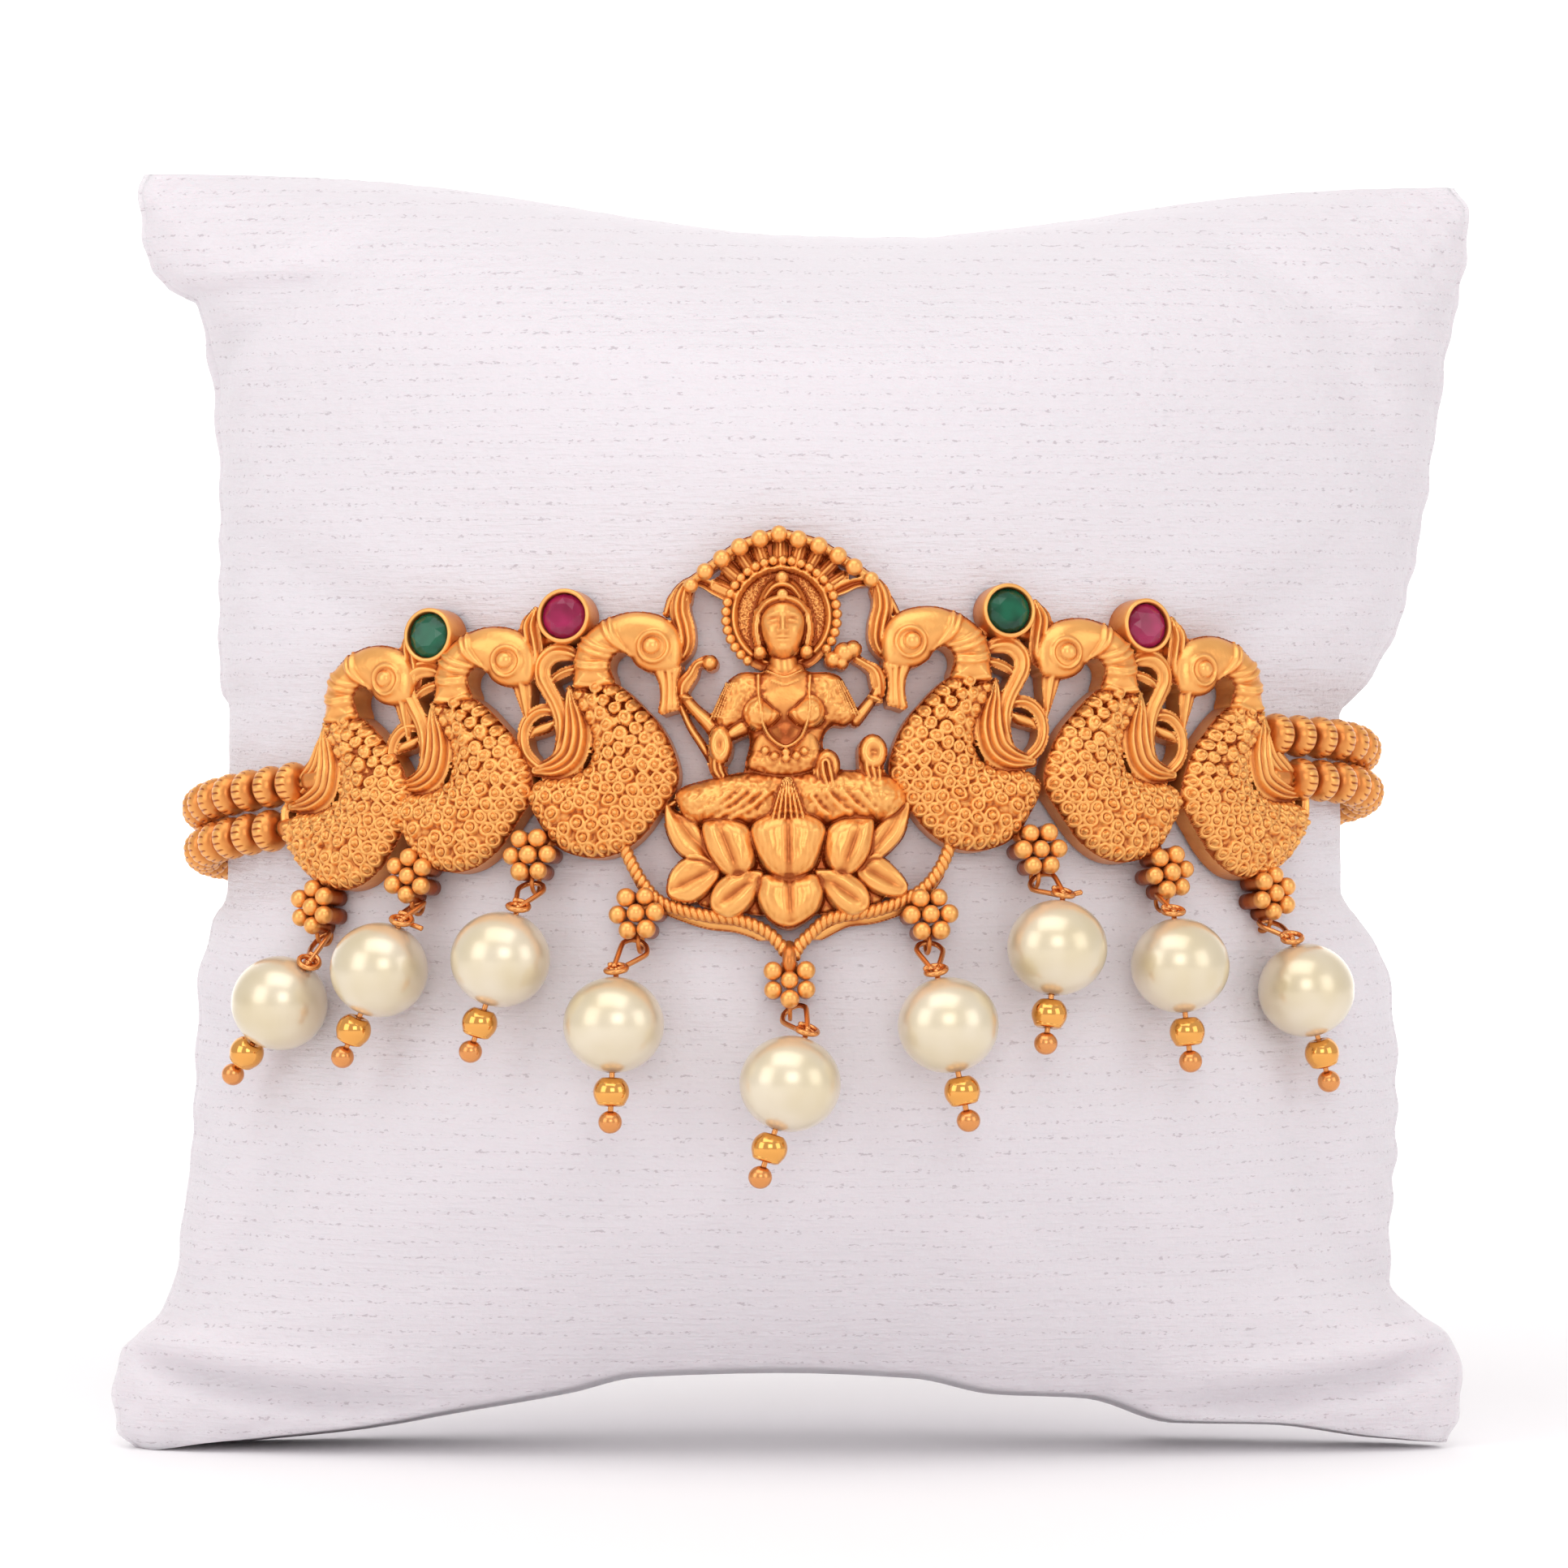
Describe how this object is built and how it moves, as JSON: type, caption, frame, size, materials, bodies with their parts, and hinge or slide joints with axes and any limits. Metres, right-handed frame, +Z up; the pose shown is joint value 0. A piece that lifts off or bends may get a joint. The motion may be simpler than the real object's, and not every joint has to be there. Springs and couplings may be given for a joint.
{
  "type": "bajuband armlet on a display pillow",
  "caption": "Temple-work gold armlet with peacocks, a seated deity, stones and pearl drops on a band of gold beads, strapped round a white stuffed display pillow.",
  "frame": {"origin": "middle of the pillow's flattened foot, on the surface that it stands on", "axes": "+Z up, -Y out of the armlet's front, +X to the right as the front is seen"},
  "size_m": [0.1238, 0.0812, 0.1179],
  "materials": {
    "pillow": "white leatherette with a fine grain",
    "gold": "cast gold, matt, patinated in the recesses",
    "bead_gold": "polished gold",
    "copper_gold": "drawn copper-gold wire, satin",
    "pearl": "cream pearl lustre",
    "green_stone": "faceted, polished",
    "ruby_stone": "faceted, polished",
    "thread": "twisted thread"
  },
  "bodies": {
    "root": {"display_pillow": "pillow", "cast_front": "gold", "green_stone_left": "green_stone", "ruby_stone_left": "ruby_stone", "green_stone_right": "green_stone", "ruby_stone_right": "ruby_stone", "drop_wire_1": "copper_gold", "drop_wire_2": "copper_gold", "drop_wire_3": "copper_gold", "drop_wire_4": "copper_gold", "drop_wire_5": "copper_gold", "drop_wire_6": "copper_gold", "drop_wire_7": "copper_gold", "drop_wire_8": "copper_gold", "drop_wire_9": "copper_gold", "pearl_1": "pearl", "pearl_2": "pearl", "pearl_3": "pearl", "pearl_4": "pearl", "pearl_5": "pearl", "pearl_6": "pearl", "pearl_7": "pearl", "pearl_8": "pearl", "pearl_9": "pearl", "gold_bead_1": "bead_gold", "gold_bead_2": "bead_gold", "gold_bead_3": "bead_gold", "gold_bead_4": "bead_gold", "gold_bead_5": "bead_gold", "gold_bead_6": "bead_gold", "gold_bead_7": "bead_gold", "gold_bead_8": "bead_gold", "gold_bead_9": "bead_gold", "bead_string_upper": "bead_gold", "bead_string_lower": "bead_gold", "thread_upper": "thread", "thread_lower": "thread"}
  },
  "joints": []
}
